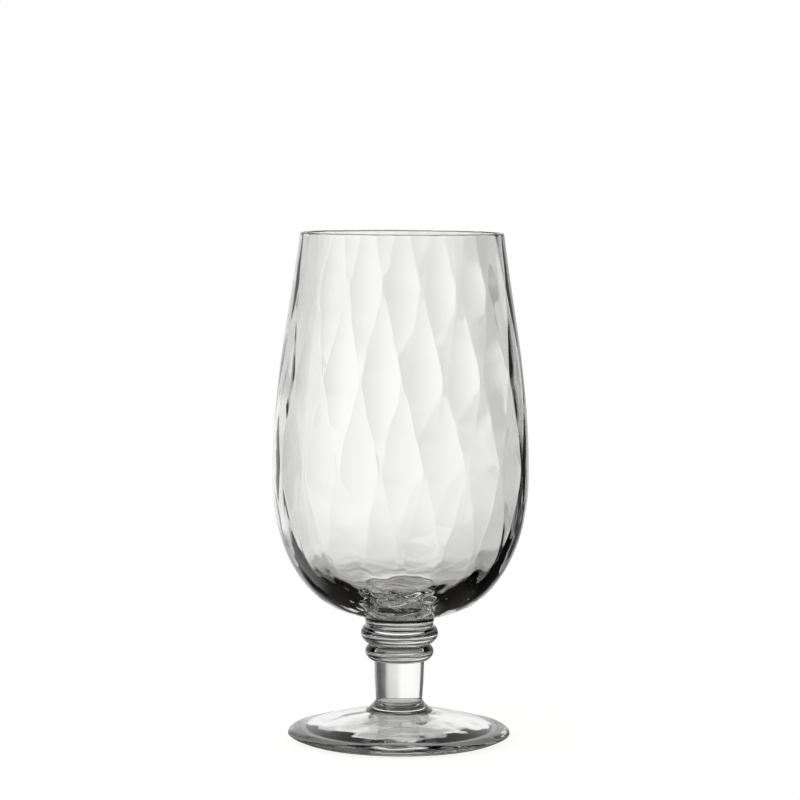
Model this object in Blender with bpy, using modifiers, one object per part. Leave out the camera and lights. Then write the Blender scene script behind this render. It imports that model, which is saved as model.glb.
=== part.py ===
"""Footed long-drink glass: a diamond-optic bowl on a short ringed stem and a round foot.

Seven gathers of clear glass stand on one another along +Z, from the foot up. Each one is
turned from a profile. The bowl's inner wall then takes its lozenge pattern from a rule.
All lengths are in metres, and the origin is the centre of the ring that the foot rests on.
"""
import math

import bmesh
import bpy
from mathutils import Vector

OBJECT_NAME = "footed_optic_glass"

# Gap kept at each seam between two gathers
SEAM = 0.0003

# Foot
FOOT_RADIUS = 0.0383
FOOT_EDGE_HEIGHT = 0.0022
FOOT_SHOULDER_RADIUS = 0.0353
FOOT_SHOULDER_HEIGHT = 0.0044
FOOT_HEIGHT = 0.0097
FOOT_CROWN_SLOPE = math.radians(4.0)
FOOT_SLOPE = math.radians(16.5)
REST_OUTER_RADIUS = 0.0330
REST_INNER_RADIUS = 0.0310
KICK_DEPTH = 0.0050

# Collar that ties the stem to the foot
FOOT_COLLAR_RADIUS = 0.0114
FOOT_COLLAR_HEIGHT = 0.0039
FOOT_COLLAR_EDGE = 0.0006

# Stem shaft
STEM_HEIGHT = 0.0131
STEM_TOP_RADIUS = 0.0087
STEM_WAIST_RADIUS = 0.0085
STEM_FOOT_RADIUS = 0.0080

# Lower ring of the stem
LOWER_KNOP_RADIUS = 0.01185
LOWER_KNOP_RISE = 0.0031
LOWER_KNOP_HEIGHT = 0.0055
LOWER_KNOP_FOOT_RADIUS = 0.0089

# Groove between the two rings
GROOVE_RADIUS = 0.0101

# Upper ring of the stem
UPPER_KNOP_RADIUS = 0.0134
UPPER_KNOP_RISE = 0.0036
UPPER_KNOP_HEIGHT = 0.0063

# Collar under the bowl
NECK_RADIUS = 0.0117
BOWL_COLLAR_HEIGHT = 0.0032
BOWL_SEAT_RADIUS = 0.0138

# Bowl, outer form
BOWL_HEIGHT = 0.1315
BELLY_RISE = 0.0485
BELLY_RADIUS = 0.0441
RIM_RADIUS = 0.0350
RIM_LEAN = math.radians(7.0)
BASE_SLOPE = math.radians(6.8)

# Bowl, walls
RIM_WALL = 0.0015
BELLY_WALL = 0.0020
FLOOR_THICKNESS = 0.0057
INNER_BELLY_RISE = 0.0560

# Diamond optic on the inner wall
OPTIC_CELLS = 18
OPTIC_ROW_HEIGHT = 0.0304
OPTIC_FIRST_ROW_DROP = 0.0180
OPTIC_DEPTH = 0.0009
OPTIC_PHASE = math.radians(0.85)
OPTIC_SWING = 0.74
OPTIC_SHARPNESS = 0.97
OPTIC_FADE_START_RADIUS = 0.0240
OPTIC_FADE_END_RADIUS = 0.0405

# Handle lengths of the curves, as shares of the span that each curve crosses
RIM_HANDLE = 0.28
UPPER_BELLY_HANDLE = 0.38
LOWER_BELLY_HANDLE = 0.58
BASE_HANDLE = 0.58
CAVITY_WALL_HANDLE = 0.78
CAVITY_FLOOR_HANDLE = 0.62
KNOP_HANDLE = 0.32
STEM_HANDLE = 0.40
FLARE_HANDLE = 0.20
FOOT_CROWN_HANDLE = 0.21
FOOT_HANDLE = 0.45
FOOT_UNDERCUT_HANDLE = 0.20
HOLLOW_REACH = 0.66
HOLLOW_RISE = 0.34
HOLLOW_DOME_HANDLE = 0.30
SOFT_HANDLE = 0.55

# Mesh resolution
STEM_STEPS = 40
COLUMNS_PER_CELL = 4
CURVE_POINTS = 6
OUTER_WALL_POINTS = 9
INNER_WALL_POINTS = 17
LIP_POINTS = 4
FRONT_ANGLE = math.radians(-90.0)

# Clear glass
GLASS_COLOUR = (0.93, 0.96, 0.96, 1.0)
GLASS_ROUGHNESS = 0.02
GLASS_IOR = 1.5


def clear_scene():
    """Remove every object, so that the script starts from an empty scene."""
    for item in list(bpy.data.objects):
        bpy.data.objects.remove(item, do_unlink=True)


def glass_material(name):
    """Clear polished glass for one gather."""
    material = bpy.data.materials.new(name)
    material.use_nodes = True
    shader = material.node_tree.nodes["Principled BSDF"]
    shader.inputs["Base Color"].default_value = GLASS_COLOUR
    shader.inputs["Roughness"].default_value = GLASS_ROUGHNESS
    shader.inputs["Metallic"].default_value = 0.0
    shader.inputs["IOR"].default_value = GLASS_IOR
    shader.inputs["Transmission Weight"].default_value = 1.0
    return material


def bezier(start, start_handle, end_handle, end, count):
    """Points on a cubic curve, from its start up to but not including its end."""
    points = []
    for index in range(count):
        t = index / count
        s = 1.0 - t
        near = s ** 3 * start + 3.0 * s * s * t * start_handle
        far = 3.0 * s * t * t * end_handle + t ** 3 * end
        points.append(near + far)
    return points


def quarter(start, end, handle, count, upright_first):
    """A rounded corner between a flat and an upright tangent, like a quarter of an oval."""
    if upright_first:
        corner = Vector((start.x, end.y))
    else:
        corner = Vector((end.x, start.y))
    return bezier(start, start.lerp(corner, handle), end.lerp(corner, handle), end, count)


def turned_piece(name, profile, steps, collection):
    """Turn a profile of (radius, height) points, listed down its outer side, about the Z axis."""
    mesh = bpy.data.meshes.new(name)
    points = [(point.x, 0.0, point.y) for point in profile]
    edges = [(index, index + 1) for index in range(len(points) - 1)]
    mesh.from_pydata(points, edges, [])
    piece = bpy.data.objects.new(name, mesh)
    collection.objects.link(piece)
    turn = piece.modifiers.new("turn", "SCREW")
    turn.axis = "Z"
    turn.angle = 2.0 * math.pi
    turn.steps = steps
    turn.render_steps = steps
    turn.use_merge_vertices = True
    turn.merge_threshold = 0.00001
    turn.use_smooth_shade = True
    mesh.materials.append(glass_material(name + "_glass"))
    return piece


def foot_profile():
    """Low dome with a round edge, a flat resting ring and a hollow underside."""
    seat = Vector((FOOT_COLLAR_RADIUS + SEAM, FOOT_HEIGHT))
    shoulder = Vector((FOOT_SHOULDER_RADIUS, FOOT_SHOULDER_HEIGHT))
    edge = Vector((FOOT_RADIUS, FOOT_EDGE_HEIGHT))
    rest_outer = Vector((REST_OUTER_RADIUS, 0.0))
    rest_inner = Vector((REST_INNER_RADIUS, 0.0))
    kick = Vector((0.0, KICK_DEPTH))
    span = shoulder.x - seat.x
    crown = Vector((math.cos(FOOT_CROWN_SLOPE), -math.sin(FOOT_CROWN_SLOPE)))
    fall = Vector((math.cos(FOOT_SLOPE), -math.sin(FOOT_SLOPE)))
    crown_handle = seat + FOOT_CROWN_HANDLE * span * crown
    shoulder_handle = shoulder - FOOT_HANDLE * span * fall
    points = [Vector((0.0, FOOT_HEIGHT))]
    points += bezier(seat, crown_handle, shoulder_handle, shoulder, CURVE_POINTS)
    points += quarter(shoulder, edge, SOFT_HANDLE, CURVE_POINTS // 2, False)
    points += quarter(edge, rest_outer, FOOT_UNDERCUT_HANDLE, CURVE_POINTS, True)
    points.append(rest_outer)
    hollow_handle = Vector((HOLLOW_REACH * REST_INNER_RADIUS, HOLLOW_RISE * KICK_DEPTH))
    dome_handle = kick.lerp(Vector((REST_INNER_RADIUS, KICK_DEPTH)), HOLLOW_DOME_HANDLE)
    points += bezier(rest_inner, hollow_handle, dome_handle, kick, CURVE_POINTS)
    points.append(kick)
    return points


def foot_collar_profile(base):
    """Flared collar, from the stem's foot down to a thin edge on the foot's seat."""
    top = Vector((STEM_FOOT_RADIUS, base + FOOT_COLLAR_HEIGHT))
    edge = Vector((FOOT_COLLAR_RADIUS, base + FOOT_COLLAR_EDGE))
    points = [Vector((0.0, top.y))]
    points += quarter(top, edge, FLARE_HANDLE, CURVE_POINTS, True)
    points += [edge, Vector((FOOT_COLLAR_RADIUS, base)), Vector((0.0, base))]
    return points


def stem_profile(base):
    """Plain shaft that draws in a little towards the foot."""
    top = Vector((STEM_TOP_RADIUS, base + STEM_HEIGHT))
    foot = Vector((STEM_FOOT_RADIUS, base))
    upper_handle = Vector((STEM_WAIST_RADIUS, top.y - STEM_HANDLE * STEM_HEIGHT))
    lower_handle = Vector((STEM_WAIST_RADIUS, base + STEM_HANDLE * STEM_HEIGHT))
    points = [Vector((0.0, top.y))]
    points += bezier(top, upper_handle, lower_handle, foot, CURVE_POINTS)
    points += [foot, Vector((0.0, base))]
    return points


def knop_profile(base, height, rise, radius, top_radius, foot_radius):
    """Ring-shaped bulge of the stem, widest at its rise above the seam below."""
    top = Vector((top_radius, base + height))
    widest = Vector((radius, base + rise))
    foot = Vector((foot_radius, base))
    points = [Vector((0.0, top.y))]
    points += quarter(top, widest, KNOP_HANDLE, CURVE_POINTS, False)
    points += quarter(widest, foot, KNOP_HANDLE, CURVE_POINTS, True)
    points += [foot, Vector((0.0, base))]
    return points


def bowl_collar_profile(base):
    """Short neck that opens out to the bowl's seat."""
    top = Vector((BOWL_SEAT_RADIUS, base + BOWL_COLLAR_HEIGHT))
    foot = Vector((NECK_RADIUS, base))
    points = [Vector((0.0, top.y))]
    points += quarter(top, foot, SOFT_HANDLE, CURVE_POINTS, False)
    points += [foot, Vector((0.0, base))]
    return points


def outer_bowl_profile(base):
    """The bowl's outside, from the edge of the lip down to the edge of its seat."""
    lip = Vector((RIM_RADIUS, base + BOWL_HEIGHT - RIM_WALL / 2))
    belly = Vector((BELLY_RADIUS, base + BELLY_RISE))
    seat = Vector((BOWL_SEAT_RADIUS, base))
    wall_span = lip.y - belly.y
    lip_handle = lip + RIM_HANDLE * wall_span * Vector((math.sin(RIM_LEAN), -math.cos(RIM_LEAN)))
    belly_top_handle = belly + Vector((0.0, UPPER_BELLY_HANDLE * wall_span))
    belly_low_handle = belly - Vector((0.0, LOWER_BELLY_HANDLE * BELLY_RISE))
    base_span = BASE_HANDLE * (belly.x - seat.x)
    seat_handle = seat + base_span * Vector((math.cos(BASE_SLOPE), math.sin(BASE_SLOPE)))
    points = bezier(lip, lip_handle, belly_top_handle, belly, OUTER_WALL_POINTS)
    points += bezier(belly, belly_low_handle, seat_handle, seat, OUTER_WALL_POINTS)
    points.append(seat)
    return points


def inner_bowl_profile(base):
    """The bowl's inside, from the middle of its floor up to the edge of the lip."""
    floor = Vector((0.0, base + FLOOR_THICKNESS))
    belly = Vector((BELLY_RADIUS - BELLY_WALL, base + INNER_BELLY_RISE))
    lip = Vector((RIM_RADIUS - RIM_WALL, base + BOWL_HEIGHT - RIM_WALL / 2))
    floor_handle = floor + Vector((CAVITY_FLOOR_HANDLE * belly.x, 0.0))
    belly_low_handle = belly - Vector((0.0, CAVITY_WALL_HANDLE * (belly.y - floor.y)))
    wall_span = lip.y - belly.y
    belly_top_handle = belly + Vector((0.0, UPPER_BELLY_HANDLE * wall_span))
    lip_handle = lip + RIM_HANDLE * wall_span * Vector((math.sin(RIM_LEAN), -math.cos(RIM_LEAN)))
    points = bezier(floor, floor_handle, belly_low_handle, belly, INNER_WALL_POINTS)
    points += bezier(belly, belly_top_handle, lip_handle, lip, INNER_WALL_POINTS)
    points.append(lip)
    return points


def lip_profile(base):
    """Half round over the top of the rim, between the inner and the outer wall."""
    centre = Vector((RIM_RADIUS - RIM_WALL / 2, base + BOWL_HEIGHT - RIM_WALL / 2))
    points = []
    for index in range(1, LIP_POINTS):
        angle = math.pi * (1.0 - index / LIP_POINTS)
        points.append(centre + RIM_WALL / 2 * Vector((math.cos(angle), math.sin(angle))))
    return points


def smooth_step(low, high, value):
    """Ease from 0 to 1 as a value goes from low to high."""
    t = min(max((value - low) / (high - low), 0.0), 1.0)
    return t * t * (3.0 - 2.0 * t)


def crease_swing(level, bowl_top):
    """How far the creases lean at a level: 1 and -1 where neighbouring creases almost meet."""
    rows_down = (bowl_top - OPTIC_FIRST_ROW_DROP - level) / OPTIC_ROW_HEIGHT
    rounded = math.asin(OPTIC_SHARPNESS * math.cos(math.pi * rows_down)) / math.asin(OPTIC_SHARPNESS)
    return OPTIC_SWING * rounded


def optic_start():
    """Angle of the first crease, which sets a pillow of the top row at the front of the glass."""
    pitch = 2.0 * math.pi / OPTIC_CELLS
    return FRONT_ANGLE + OPTIC_PHASE - 0.75 * pitch


def optic_point(column, point, bowl_top):
    """Place one point of the inner wall on its crease or on the pillow between two creases."""
    crease, step = divmod(column, COLUMNS_PER_CELL // 2)
    across = step / (COLUMNS_PER_CELL // 2)
    pitch = 2.0 * math.pi / OPTIC_CELLS
    swing = crease_swing(point.y, bowl_top)
    side = 1.0 if crease % 2 == 0 else -1.0
    width = 0.5 * pitch * (1.0 - side * swing)
    angle = 0.5 * pitch * crease + 0.25 * pitch * side * swing + across * width
    swell = OPTIC_DEPTH * (width / pitch) ** 2 * 4.0 * across * (1.0 - across)
    turned = optic_start() + angle
    radius = point.x - swell
    return Vector((radius * math.cos(turned), radius * math.sin(turned), point.y))


def bowl_piece(base, collection):
    """Turn the bowl, then press the lozenge pattern into its inner wall."""
    inner = inner_bowl_profile(base)
    profile = inner + lip_profile(base) + outer_bowl_profile(base) + [Vector((0.0, base))]
    columns = OPTIC_CELLS * COLUMNS_PER_CELL
    blank = turned_piece("bowl_blank", profile, columns, collection)
    wall = blank.vertex_groups.new(name="inner_wall")
    for index, point in enumerate(inner):
        share = smooth_step(OPTIC_FADE_START_RADIUS, OPTIC_FADE_END_RADIUS, point.x)
        wall.add([index], share, "REPLACE")
    graph = bpy.context.evaluated_depsgraph_get()
    turned = blank.evaluated_get(graph)
    mesh = bpy.data.meshes.new_from_object(turned, preserve_all_data_layers=True, depsgraph=graph)
    press_optic(mesh, wall.index, base + BOWL_HEIGHT)
    bpy.data.objects.remove(blank, do_unlink=True)
    mesh.name = "bowl"
    mesh.materials.clear()
    mesh.materials.append(glass_material("bowl_glass"))
    mesh.shade_smooth()
    bowl = bpy.data.objects.new("bowl", mesh)
    collection.objects.link(bowl)
    return bowl


def press_optic(mesh, wall_group, bowl_top):
    """Move each inner wall point to its place in the lozenge pattern, by its share of the pattern."""
    work = bmesh.new()
    work.from_mesh(mesh)
    weights = work.verts.layers.deform.verify()
    columns = OPTIC_CELLS * COLUMNS_PER_CELL
    for vert in work.verts:
        share = vert[weights].get(wall_group, 0.0)
        if share == 0.0:
            continue
        turn = math.atan2(vert.co.y, vert.co.x) - optic_start()
        column = round(turn / (2.0 * math.pi) * columns) % columns
        point = Vector((math.hypot(vert.co.x, vert.co.y), vert.co.z))
        vert.co = vert.co.lerp(optic_point(column, point, bowl_top), share)
    work.to_mesh(mesh)
    work.free()


def build():
    """Stand the seven gathers on one another, each a seam above the one below."""
    clear_scene()
    collection = bpy.data.collections.new(OBJECT_NAME)
    bpy.context.scene.collection.children.link(collection)

    turned_piece("foot", foot_profile(), STEM_STEPS, collection)

    level = FOOT_HEIGHT + SEAM
    turned_piece("foot_collar", foot_collar_profile(level), STEM_STEPS, collection)

    level += FOOT_COLLAR_HEIGHT + SEAM
    turned_piece("stem_shaft", stem_profile(level), STEM_STEPS, collection)

    level += STEM_HEIGHT + SEAM
    lower_ring = knop_profile(level, LOWER_KNOP_HEIGHT, LOWER_KNOP_RISE, LOWER_KNOP_RADIUS,
                              GROOVE_RADIUS, LOWER_KNOP_FOOT_RADIUS)
    turned_piece("lower_knop", lower_ring, STEM_STEPS, collection)

    level += LOWER_KNOP_HEIGHT + SEAM
    upper_ring = knop_profile(level, UPPER_KNOP_HEIGHT, UPPER_KNOP_RISE, UPPER_KNOP_RADIUS,
                              NECK_RADIUS, GROOVE_RADIUS)
    turned_piece("upper_knop", upper_ring, STEM_STEPS, collection)

    level += UPPER_KNOP_HEIGHT + SEAM
    turned_piece("bowl_collar", bowl_collar_profile(level), STEM_STEPS, collection)

    level += BOWL_COLLAR_HEIGHT + SEAM
    bowl_piece(level, collection)


build()
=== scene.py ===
"""Looks of a footed drinking glass: a diamond-optic bowl on a short ringed stem and a round foot.

Each gather of the glass is turned from a profile around the Z axis, and stands in the place of its
CAD node. The bowl's inner wall takes its lozenge pattern from a rule, in a node tree. Neighbouring
gathers meet in a fused face, which shows nothing. All lengths are in metres.
"""

import math

import bmesh
import bpy
from bpy.props import FloatProperty, FloatVectorProperty, IntProperty, PointerProperty
from mathutils import Matrix, Vector


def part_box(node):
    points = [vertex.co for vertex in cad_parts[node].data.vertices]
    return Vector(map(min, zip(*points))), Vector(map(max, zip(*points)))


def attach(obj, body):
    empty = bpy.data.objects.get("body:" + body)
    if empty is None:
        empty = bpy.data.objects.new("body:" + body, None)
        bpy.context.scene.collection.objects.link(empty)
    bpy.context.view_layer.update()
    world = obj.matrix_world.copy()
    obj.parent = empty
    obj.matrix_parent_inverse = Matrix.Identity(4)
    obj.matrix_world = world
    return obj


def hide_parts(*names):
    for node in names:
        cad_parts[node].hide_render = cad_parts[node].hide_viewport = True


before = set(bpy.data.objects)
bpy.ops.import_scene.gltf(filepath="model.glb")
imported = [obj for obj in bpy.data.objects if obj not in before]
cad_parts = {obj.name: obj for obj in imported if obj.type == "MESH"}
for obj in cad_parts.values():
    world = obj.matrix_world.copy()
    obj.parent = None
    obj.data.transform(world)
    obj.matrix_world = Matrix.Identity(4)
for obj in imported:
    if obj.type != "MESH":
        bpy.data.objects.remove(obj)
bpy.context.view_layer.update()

bl_info = {
    "name": "Footed optic glass",
    "version": (1, 0, 0),
    "blender": (4, 5, 0),
    "location": "View3D > Sidebar > Glass",
    "description": "Builds a footed drinking glass with a diamond-optic bowl, and its studio",
    "category": "Add Mesh",
}

BODY = "root"
FRONT_ANGLE = math.radians(-90.0)
FULL_TURN = 2.0 * math.pi

# Faces round each turned piece, and round each lozenge of the bowl
FOOT_STEPS = 192
STEM_STEPS = 160
LOZENGE_STEPS = 16

# Shares of a span at which the handles of an outline's curves stand
OVAL_HANDLE = 0.55
CROWN_HANDLE = 0.21
FALL_HANDLE = 0.45
SHAFT_HANDLE = 0.40
WALL_HANDLE = 0.38
LIP_HANDLE = 0.28
BASE_HANDLE = 0.58

# Lengths over which waves and lines begin: beside a seam, above the table, outside the shaft
SEAM_EASE = 0.002
TABLE_EASE = 0.001
LINE_EASE = 0.001

GLASS_IOR = 1.5
STREAK_DRAW = 3.0
FILM_FINENESS = 3.0
LINE_DRIFT = 0.1

LAMP_PLACE = (-0.9, -0.5, 1.5)
LAMP_WIDTH = 1.0
SENSOR_WIDTH = 36.0
WALL_BLEND = 0.15

# Grey of the room round the glass, by degrees to the right of the view's direction, at five heights
DEEP_ROUND = (
    (-180, 1), (-130, 1), (-108, 1), (-80, 1), (-76, 0.05), (-62, 0.05), (-58, 1), (-38, 1), (-35, 0.05),
    (-27, 0.05), (-22, 0.40), (-14, 0.44), (0, 0.46), (5, 0.42), (10, 0.38), (16, 0.34), (20, 0.20),
    (23, 0.03), (96, 0.03), (112, 0.80), (130, 1), (180, 1),
)
LOW_ROUND = (
    (-180, 1), (-83, 1), (-81, 0.04), (-55, 0.04), (-52, 0.95), (-40, 1), (-6, 1), (-3, 0.97), (0, 0.915),
    (2.5, 0.86), (5, 0.815), (9, 0.78), (14, 0.73), (18, 0.68), (21, 0.50), (24, 0.10), (32, 0.03),
    (92, 0.03), (112, 0.80), (130, 1), (180, 1),
)
MID_ROUND = (
    (-180, 1), (-83, 1), (-81, 0.04), (-50, 0.04), (-47, 0.85), (-40, 1), (-3.8, 1), (-2.3, 0.97),
    (2.5, 0.76), (4, 0.71), (8, 0.69), (12, 0.67), (18, 0.60), (22, 0.44), (26, 0.16), (34, 0.06),
    (92, 0.04), (112, 0.80), (130, 1), (180, 1),
)
HIGH_ROUND = (
    (-180, 1), (-83, 1), (-81, 0.05), (-62, 0.05), (-59, 0.40), (-40, 0.60), (-25, 0.66), (-14, 0.92),
    (-9, 1), (-3.8, 1), (-2.3, 0.97), (2.5, 0.76), (4, 0.72), (8, 0.70), (11, 0.69), (15, 0.50), (20, 0.33),
    (30, 0.22), (60, 0.12), (92, 0.15), (112, 0.80), (130, 1), (180, 1),
)
TOP_ROUND = (
    (-180, 1), (-83, 1), (-81, 0.05), (-62, 0.05), (-59, 0.40), (-40, 0.60), (-25, 0.80), (-14, 1), (13, 1),
    (22, 0.80), (40, 0.45), (60, 0.12), (92, 0.15), (112, 0.80), (130, 1), (180, 1),
)

# Each height above the deepest: degrees above the horizon between which it takes over from the one below
ROUNDS = (
    ("low", LOW_ROUND, -28.0, -20.0),
    ("middle", MID_ROUND, -8.5, -6.0),
    ("high", HIGH_ROUND, -2.5, 0.5),
    ("top", TOP_ROUND, 3.0, 8.0),
)

# Share of that grey, by degrees above the horizon: behind the glass, and on the side of the camera
ROOM_RISE = (
    (-90, 0.25), (-55, 0.30), (-42, 0.56), (-35, 0.80), (-28, 0.92), (-22, 0.90), (-17, 0.88), (-13, 0.92),
    (-9, 0.98), (-5, 1), (-2.5, 0.97), (0, 0.92), (3, 0.90), (6, 0.95), (14, 0.98), (19, 0.95), (24, 0.80),
    (29, 0.55), (36, 0.38), (50, 0.16), (65, 0.06), (90, 0.06),
)
FRONT_RISE = ((-90, 0.15), (-50, 0.20), (-30, 0.80), (-20, 1), (30, 1), (45, 0.30), (90, 0.20))


def seam_level(lower, upper):
    """Level of the fused face of two neighbours, halfway across the seam of their solids."""
    return 0.5 * (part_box(lower)[1].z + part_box(upper)[0].z)


def widest(node):
    """Largest radius of a turned node."""
    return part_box(node)[1].x


FOOT_SEAM = seam_level("foot", "foot_collar")
SHAFT_FOOT_SEAM = seam_level("foot_collar", "stem_shaft")
SHAFT_TOP_SEAM = seam_level("stem_shaft", "lower_knop")
GROOVE_SEAM = seam_level("lower_knop", "upper_knop")
NECK_SEAM = seam_level("upper_knop", "bowl_collar")
BOWL_SEAM = seam_level("bowl_collar", "bowl")
BOWL_FOOT, LIP_LEVEL = (corner.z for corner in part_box("bowl"))


def length(name, default, description):
    """A length that a user may change."""
    return FloatProperty(name=name, description=description, default=default, min=0.0,
                         unit="LENGTH", subtype="DISTANCE", precision=5)


def share(name, default, description):
    """A share from 0 to 1 that a user may change."""
    return FloatProperty(name=name, description=description, default=default, min=0.0, max=1.0,
                         subtype="FACTOR")


def turn(name, degrees, description):
    """An angle that a user may change."""
    return FloatProperty(name=name, description=description, default=math.radians(degrees),
                         unit="ROTATION", subtype="ANGLE")


def tint(name, default, description):
    """A colour that a user may change."""
    return FloatVectorProperty(name=name, description=description, default=default, size=4,
                               min=0.0, max=1.0, subtype="COLOR")


def place_of(name, default, description):
    """A place in the studio that a user may change."""
    return FloatVectorProperty(name=name, description=description, default=default, size=3,
                               unit="LENGTH", subtype="TRANSLATION")


class FootSizes(bpy.types.PropertyGroup):
    """Sizes of the foot and of the collar on it."""
    radius: length("Foot radius", widest("foot"), "Radius of the foot's round edge")
    edge_height: length("Edge height", 0.0022, "Level at which the foot is widest")
    edge_fullness: share("Edge fullness", 0.2, "How full the edge is on its underside")
    shoulder_radius: length("Shoulder radius", 0.0353, "Radius at which the cone turns into the edge")
    shoulder_height: length("Shoulder height", 0.0044, "Level at which the cone turns into the edge")
    crown_slope: turn("Crown slope", 4.0, "Fall of the foot's top beside the collar")
    slope: turn("Cone slope", 16.5, "Fall of the foot's top where it meets the edge")
    rest_outer: length("Resting ring outside", 0.0330, "Outer radius of the ring that meets the table")
    rest_inner: length("Resting ring inside", 0.0310, "Inner radius of the ring that meets the table")
    kick: length("Hollow depth", 0.0050, "Depth of the hollow under the foot")
    hollow_reach: share("Hollow reach", 0.66, "Share of the ring's radius to which the hollow's side leans")
    hollow_lift: share("Hollow lift", 0.34, "Share of the hollow's depth to which its side leans")
    hollow_flat: share("Hollow flat", 0.30, "How far out the hollow's middle stays flat")
    collar_radius: length("Collar radius", widest("foot_collar"), "Radius of the collar on the foot")
    collar_edge: length("Collar edge", 0.0006, "Height of the collar's thin edge")
    collar_flare: share("Collar flare", 0.20, "How hollow the collar's flare is")


class StemSizes(bpy.types.PropertyGroup):
    """Radii of the shaft, the two rings and the neck."""
    shaft_top: length("Shaft top", widest("stem_shaft"), "Radius of the shaft under the rings")
    shaft_waist: length("Shaft waist", 0.0085, "Radius that the middle of the shaft leans to")
    shaft_foot: length("Shaft foot", 0.0080, "Radius of the shaft above the foot")
    lower_knop: length("Lower ring", widest("lower_knop"), "Largest radius of the lower ring")
    lower_rise: length("Lower ring rise", 0.0031, "Height of the lower ring's widest level")
    lower_foot: length("Lower ring foot", 0.0089, "Radius of the lower ring on the shaft")
    groove: length("Groove", 0.0101, "Radius between the two rings")
    upper_knop: length("Upper ring", widest("upper_knop"), "Largest radius of the upper ring")
    upper_rise: length("Upper ring rise", 0.0036, "Height of the upper ring's widest level")
    roundness: share("Roundness", 0.41, "How full the rings are, from a plain edge to a tube")
    neck: length("Neck", 0.0117, "Radius between the upper ring and the bowl's collar")
    seat: length("Bowl seat", widest("bowl_collar"), "Radius of the collar where it meets the bowl")


class BowlSizes(bpy.types.PropertyGroup):
    """Form and walls of the bowl."""
    belly_radius: length("Belly radius", widest("bowl"), "Largest radius of the bowl")
    belly_rise: length("Belly rise", 0.0485, "Height of the widest level above the bowl's foot")
    rim_radius: length("Rim radius", 0.0350, "Outer radius of the lip")
    rim_lean: turn("Rim lean", 7.0, "Inward lean of the wall at the lip")
    base_slope: turn("Base slope", 6.8, "Rise of the bowl's underside from its seat")
    rim_wall: length("Rim wall", 0.0015, "Thickness of the lip")
    belly_wall: length("Belly wall", 0.0020, "Thickness of the wall at the belly")
    floor: length("Floor thickness", 0.0057, "Thickness of the bowl's floor on the axis")
    inner_rise: length("Inner belly rise", 0.0560, "Height of the hollow's widest level")
    floor_reach: share("Floor reach", 0.62, "How far out the hollow's floor stays flat")
    corner_drop: share("Corner drop", 0.78, "How far down the hollow's side stays upright")


class OpticSizes(bpy.types.PropertyGroup):
    """The lozenge pattern on the bowl's inner wall."""
    cells: IntProperty(name="Lozenges round", description="Lozenges in one row", default=18, min=3)
    row_height: length("Row height", 0.0304, "Height from one row of lozenges to the next")
    first_row: length("First row", 0.0180, "Drop of the top row's middle below the lip")
    depth: length("Depth", 0.00034, "Height of a lozenge's pillow over its creases")
    phase: turn("Phase", 0.85, "Turn of the pattern from the front of the glass")
    swing: share("Swing", 0.84, "How near to each other neighbouring creases come")
    sharpness: share("Sharpness", 0.985, "How pointed the creases' turns are")
    uneven: length("Unevenness", 0.00045, "Height of the soft waves in the pressed wall")
    uneven_size: length("Unevenness size", 0.012, "Width of one of those waves")
    crease_edge: share("Crease edge", 0.11, "How closely the mesh is drawn together along the creases")
    fade_start: length("Fade start", 0.0240, "Radius on the floor at which the pattern begins")
    fade_end: length("Fade end", 0.0405, "Radius on the floor at which the pattern is whole")


class GlassFinish(bpy.types.PropertyGroup):
    """Clear glass, the traces of hand work in it, and painted dark shade lines on the rings."""
    clear: tint("Clear", (1.0, 0.999, 0.994, 1.0), "Colour of the glass where it is clearest")
    streak: tint("Streak", (0.986, 0.984, 0.974, 1.0), "Colour of the faint streaks in the glass")
    ripple: share("Ripple", 0.0030, "Unevenness of the hand-turned radius")
    ripple_size: length("Ripple size", 0.020, "Width of one wave of that unevenness")
    foot_wave: length("Foot wave", 0.0003, "Height of the waves that the paddle left on the foot")
    foot_wave_size: length("Foot wave size", 0.008, "Width of one of those waves")
    floor_wave: length("Floor wave", 0.0004, "Height of the waves in the bowl's floor")
    floor_wave_size: length("Floor wave size", 0.0040, "Width of one of those waves")
    wave_breaks: share("Wave breaks", 0.7, "How often these waves break off on their way round the axis")
    # Painted shade: the line settings below draw near-black lines into the colour of the rings, standing in
    # for their dark refracted edges.
    line_spacing: length("Line spacing", 0.0015, "Height from one painted dark shade line on the rings to the next")
    line_width: share("Line width", 0.45, "Share of the spacing that each side of a line takes")
    line_strength: share("Line strength", 1.0, "How dark the painted shade lines are")
    line_colour: tint("Line colour", (0.002, 0.002, 0.002, 1.0), "Colour of the painted shade lines")
    seed: IntProperty(name="Seed", description="Which unevenness is drawn", default=7)


class StudioSetup(bpy.types.PropertyGroup):
    """Camera, lamp, room and floor."""
    eye: place_of("Eye", (-0.00034, -1.067, 0.1995), "Place of the camera")
    target: place_of("Target", (-0.00034, 0.0, 0.1175), "Point that the camera looks at")
    roll: turn("Roll", 0.37, "Turn of the camera, which leans the glass to the right")
    lens: FloatProperty(name="Lens", description="Focal length in millimetres", default=140.27)
    floor_size: length("Floor size", 0.18, "Width of the floor")
    floor_colour: tint("Floor colour", (0.15, 0.144, 0.138, 1.0), "Colour of the floor")
    floor_fade: length("Floor fade", 0.03, "Width over which the floor fades out at its edge")
    floor_lift: share("Floor lift", 0.87, "Light that the floor shows to the eye alone, which makes it white")
    # Painted light: a glow painted on the floor under the foot, which only the glass sees.
    painted_floor_glow: share("Floor glow", 0.42, "Light gathered under the foot, which shows only through the glass")
    glow_whole: length("Glow whole", 0.021, "Radius up to which the painted glow is whole")
    glow_end: length("Glow end", 0.040, "Radius at which the painted glow ends")
    fill: share("Fill", 1.0, "Brightness of the room for the floor")
    wall: share("Wall", 1.0, "Brightness of the room for the glass")
    lamp_power: FloatProperty(name="Lamp power", description="Power of the soft lamp",
                              default=6.0, min=0.0, unit="POWER")


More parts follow.
